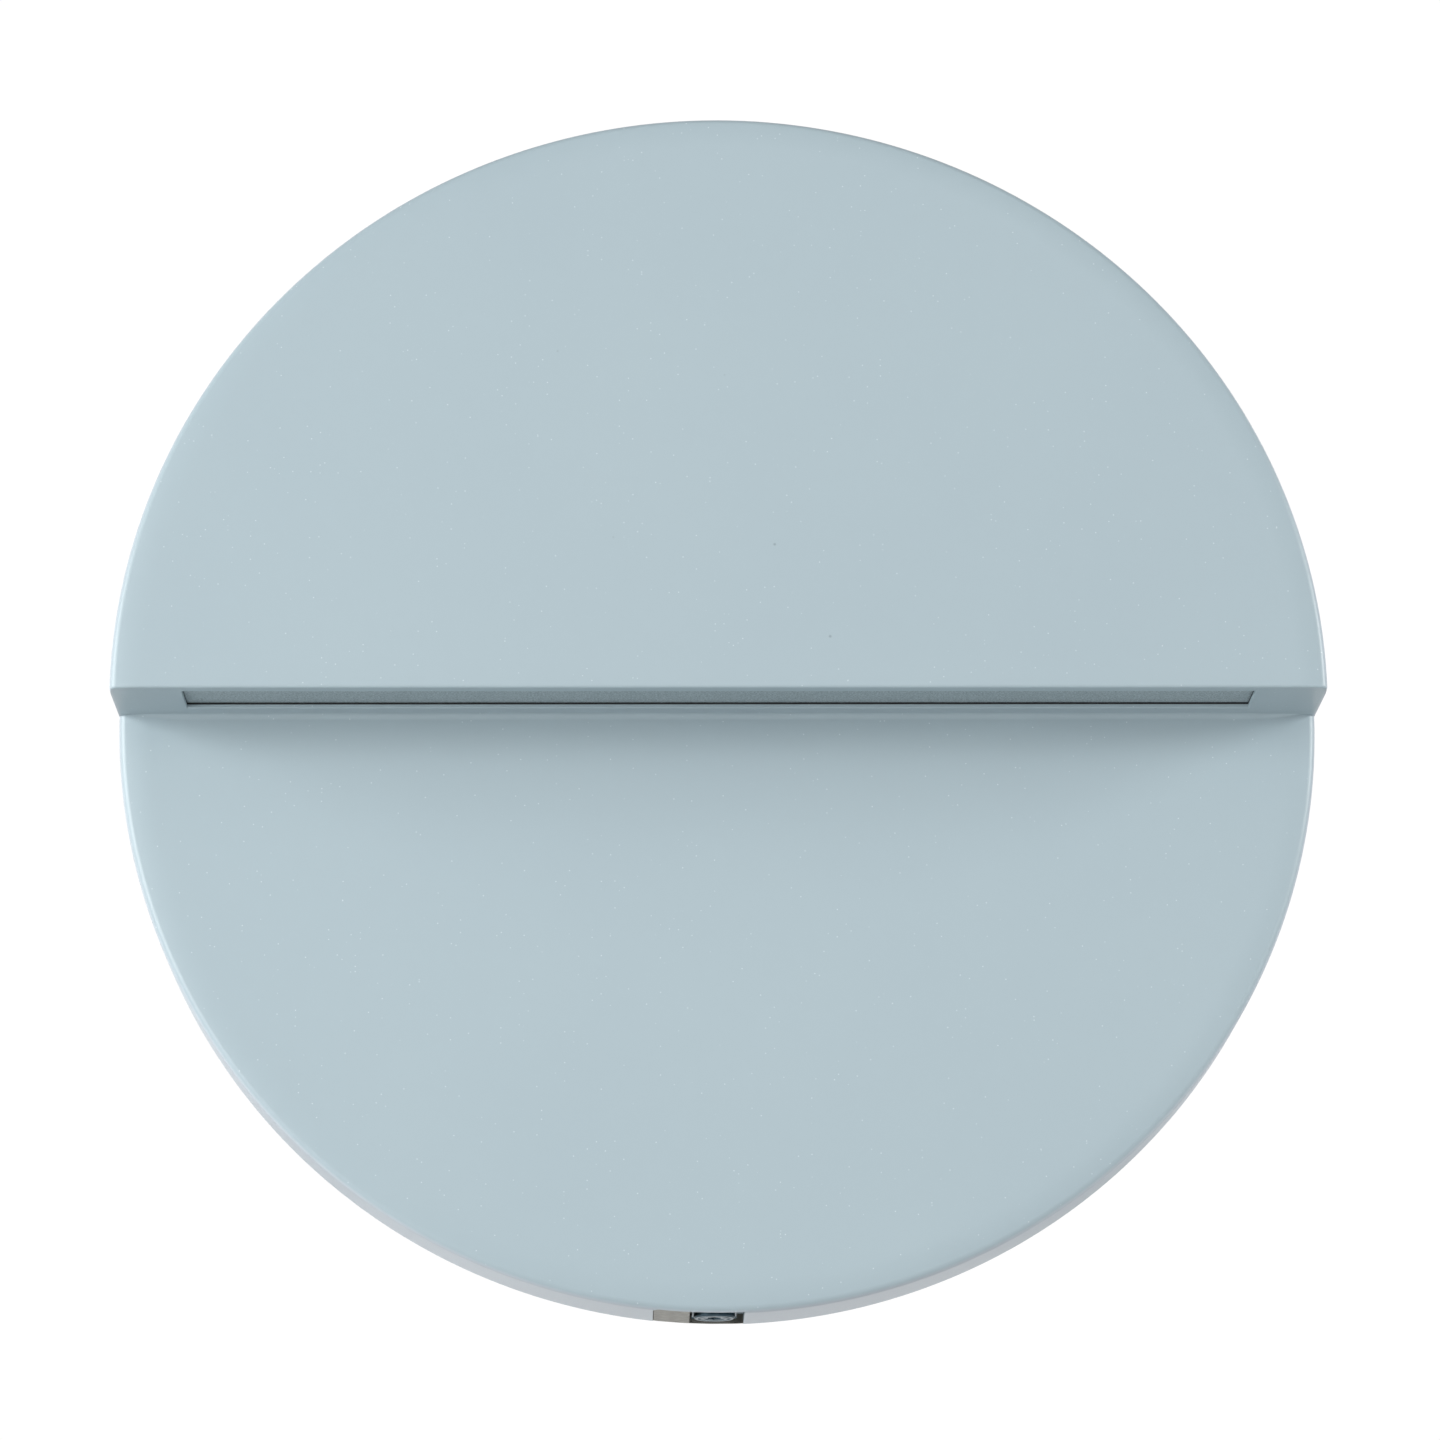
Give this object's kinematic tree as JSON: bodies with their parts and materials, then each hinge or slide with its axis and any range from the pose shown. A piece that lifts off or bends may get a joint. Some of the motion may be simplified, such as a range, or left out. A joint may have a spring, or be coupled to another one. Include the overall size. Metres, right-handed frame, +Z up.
{
  "type": "half-moon wall light",
  "caption": "Round surface-mounted wall light: a half-disc hood with a frosted slot in its underside washes light down over the lower half of its cover.",
  "frame": {"origin": "centre of the disc on the wall plane, which is also the middle of the two wall-screw slots", "axes": "+Z up, +Y into the wall, so the light faces -Y, and +X to the viewer's right"},
  "size_m": [0.2, 0.032, 0.2],
  "materials": {
    "powder_coat": "satin powder coat, pale blue-grey",
    "opal_diffuser": "frosted, fine-grained opal polycarbonate",
    "silicone_black": "matt silicone",
    "extruded_aluminium": "extruded, matt",
    "white_plastic": "moulded, fine texture",
    "thermal_pad": "soft silicone pad",
    "board_white": "white solder mask",
    "led_phosphor": "phosphor-filled silicone",
    "zinc_steel": "zinc plated",
    "brass": "turned",
    "wire_red": "PVC insulation",
    "wire_black": "PVC insulation",
    "cast_aluminium": "die cast, uncoated",
    "foam_black": "closed-cell foam",
    "rubber_grey": "moulded rubber",
    "board_green": "green solder mask",
    "transformer": "yellow tape over a winding",
    "capacitor_sleeve": "shrink sleeve",
    "earth_green_steel": "green lacquered head",
    "tinned_copper": "tinned",
    "wire_earth": "green and yellow PVC insulation",
    "wire_blue": "PVC insulation",
    "wire_brown": "PVC insulation",
    "dark_steel": "blackened steel"
  },
  "bodies": {
    "base": {"back_plate": "cast_aluminium", "wall_gasket": "foam_black", "cover_seal": "silicone_black", "guide_pins": "zinc_steel", "cable_grommet": "rubber_grey", "driver_case": "white_plastic", "driver_lid": "white_plastic", "driver_board": "board_green", "driver_transformer": "transformer", "driver_capacitor": "capacitor_sleeve", "driver_screws": "zinc_steel", "terminal_block": "white_plastic", "terminal_clamps": "brass", "terminal_screws": "zinc_steel", "terminal_fixing_screws": "zinc_steel", "earth_screw": "earth_green_steel", "earth_washer": "zinc_steel", "earth_ring": "tinned_copper", "earth_lead": "wire_earth", "neutral_lead": "wire_blue", "live_lead": "wire_brown", "output_lead_positive": "wire_red", "output_lead_negative": "wire_black", "output_plug": "white_plastic"},
    "cover": {"front_cover": "powder_coat", "diffuser": "opal_diffuser", "diffuser_seal": "silicone_black", "led_bracket": "extruded_aluminium", "bracket_end_caps": "white_plastic", "reflector": "white_plastic", "thermal_pad": "thermal_pad", "led_board": "board_white", "led_chips": "led_phosphor", "bracket_screws": "zinc_steel", "led_socket": "white_plastic", "socket_pins": "brass", "led_lead_positive": "wire_red", "led_lead_negative": "wire_black"},
    "lock": {"lock_plate": "dark_steel", "locking_screw": "dark_steel"}
  },
  "joints": [
    {"name": "cover_pull_off", "type": "slide", "parent": "base", "child": "cover", "axis": [0, -1, 0], "range_m": [0, 0.06]},
    {"name": "locking_screw_back_out", "type": "slide", "parent": "base", "child": "lock", "axis": [0, 0, -1], "range_m": [0, 0.008]}
  ]
}
